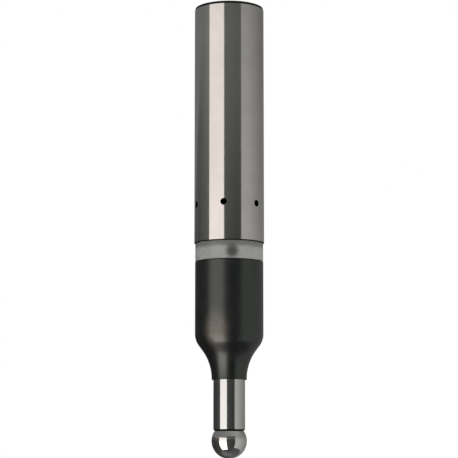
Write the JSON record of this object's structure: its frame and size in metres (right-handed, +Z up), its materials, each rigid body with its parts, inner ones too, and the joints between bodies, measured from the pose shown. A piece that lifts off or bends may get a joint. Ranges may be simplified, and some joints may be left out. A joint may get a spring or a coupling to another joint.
{
  "type": "three-dimensional edge finder",
  "caption": "Electronic edge finder: steel shank with sound holes, frosted light ring, black rubber boot, steel stylus with a ball tip that tilts and retracts.",
  "frame": {"origin": "on the axis at the lower end of the shank, where it meets the light ring", "axes": "+Z up the shank, away from the ball; +X right and +Y back as the picture sees it"},
  "size_m": [0.02, 0.02, 0.13],
  "materials": {
    "ground_steel": "fine ground",
    "polished_steel": "polished",
    "spring_steel": "drawn wire",
    "bronze": "turned",
    "black_rubber": "satin",
    "frosted_plastic": "frosted translucent",
    "insulator": "matte",
    "board_laminate": "lacquered",
    "black_plastic": "matte",
    "light_body": "dark body with a tinted lens",
    "battery_case": "lacquered"
  },
  "bodies": {
    "shank": {"shank": "ground_steel", "battery_cap": "ground_steel", "cap_seal": "black_rubber", "contact_spring": "spring_steel", "battery": "battery_case", "battery_sleeve": "insulator", "contact_plate": "insulator", "contact_rivet": "bronze", "board_standoffs": "bronze", "circuit_board": "board_laminate", "board_parts": "black_plastic", "buzzer": "black_plastic", "insulating_bush": "insulator", "light_ring": "frosted_plastic", "led_strip": "insulator", "indicator_leds": "light_body", "head_core": "ground_steel", "boot": "black_rubber", "spring_seat": "insulator", "return_spring": "spring_steel", "outer_pivots": "polished_steel"},
    "gimbal": {"gimbal_ring": "ground_steel"},
    "guide": {"inner_pivots": "polished_steel", "stylus_guide": "ground_steel", "guide_bush": "bronze", "guide_plug": "insulator", "stylus_spring": "spring_steel"},
    "stylus": {"stylus": "ground_steel", "stop_ring": "spring_steel", "ball_tip": "polished_steel"}
  },
  "joints": [
    {"name": "stylus_tilt_front_back", "type": "hinge", "parent": "shank", "child": "gimbal", "pos_m": [0, 0, -0.018], "axis": [1, 0, 0], "range_deg": [-8, 8], "stiffness_Nm_per_rad": 0.6, "deforming": ["boot", "return_spring"]},
    {"name": "stylus_tilt_left_right", "type": "hinge", "parent": "gimbal", "child": "guide", "pos_m": [0, 0, -0.018], "axis": [0, 1, 0], "range_deg": [-8, 8], "stiffness_Nm_per_rad": 0.6, "deforming": ["boot", "return_spring"]},
    {"name": "stylus_retract", "type": "slide", "parent": "guide", "child": "stylus", "axis": [0, 0, 1], "range_m": [0, 0.005], "stiffness_N_per_m": 600, "springref_m": -0.005, "deforming": ["stylus_spring"]}
  ]
}
